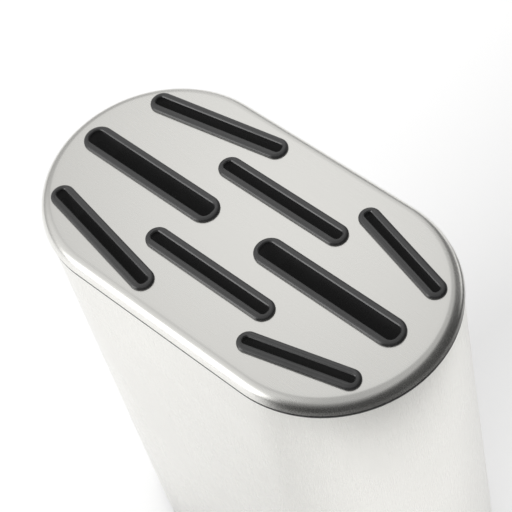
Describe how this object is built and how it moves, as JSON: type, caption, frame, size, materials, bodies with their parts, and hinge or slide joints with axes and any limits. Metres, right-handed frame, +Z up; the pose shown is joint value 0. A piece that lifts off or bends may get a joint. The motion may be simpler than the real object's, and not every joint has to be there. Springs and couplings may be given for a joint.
{
  "type": "knife block",
  "caption": "Upright oval knife block: stainless steel body, lift-off steel lid with lined knife slots, inner blade guide and a moulded base on rubber feet.",
  "frame": {"origin": "centre of the footprint, at the soles of the rubber feet", "axes": "+Z up, the way the knives come out; +X along the oval; +Y across it, towards the back"},
  "size_m": [0.188, 0.1, 0.2365],
  "materials": {
    "lid_steel": "fine satin",
    "body_steel": "fine vertical brushing",
    "liner_plastic": "semi-matt moulded",
    "frame_plastic": "matt moulded",
    "spring_steel": "bright rolled",
    "fastener_steel": "plain zinc plate",
    "bracket_steel": "mill finish",
    "mat_rubber": "ribbed soft rubber",
    "foot_rubber": "smooth soft rubber"
  },
  "bodies": {
    "housing": {"body_shell": "body_steel", "base_plate": "frame_plastic", "tip_mat": "mat_rubber", "blade_guide": "frame_plastic", "guide_post_front_left": "fastener_steel", "guide_post_front_right": "fastener_steel", "guide_post_back_left": "fastener_steel", "guide_post_back_right": "fastener_steel", "guide_screws": "fastener_steel", "post_screws": "fastener_steel", "base_bracket_front_left": "bracket_steel", "base_bracket_front_right": "bracket_steel", "base_bracket_back_left": "bracket_steel", "base_bracket_back_right": "bracket_steel", "base_screws": "fastener_steel", "foot_front_left": "foot_rubber", "foot_front_right": "foot_rubber", "foot_back_left": "foot_rubber", "foot_back_right": "foot_rubber"},
    "lid": {"top_cap": "lid_steel", "liner_wide_left": "liner_plastic", "liner_wide_right": "liner_plastic", "liner_middle_front": "liner_plastic", "liner_middle_back": "liner_plastic", "liner_left_front": "liner_plastic", "liner_left_back": "liner_plastic", "liner_right_front": "liner_plastic", "liner_right_back": "liner_plastic", "lid_carrier": "frame_plastic", "lid_studs": "fastener_steel", "lid_nuts": "fastener_steel", "spring_clip_front_left": "spring_steel", "spring_clip_front_right": "spring_steel", "spring_clip_back_left": "spring_steel", "spring_clip_back_right": "spring_steel"}
  },
  "joints": [
    {"name": "lid_lift", "type": "slide", "parent": "housing", "child": "lid", "axis": [0, 0, 1], "range_m": [0, 0.06]}
  ]
}
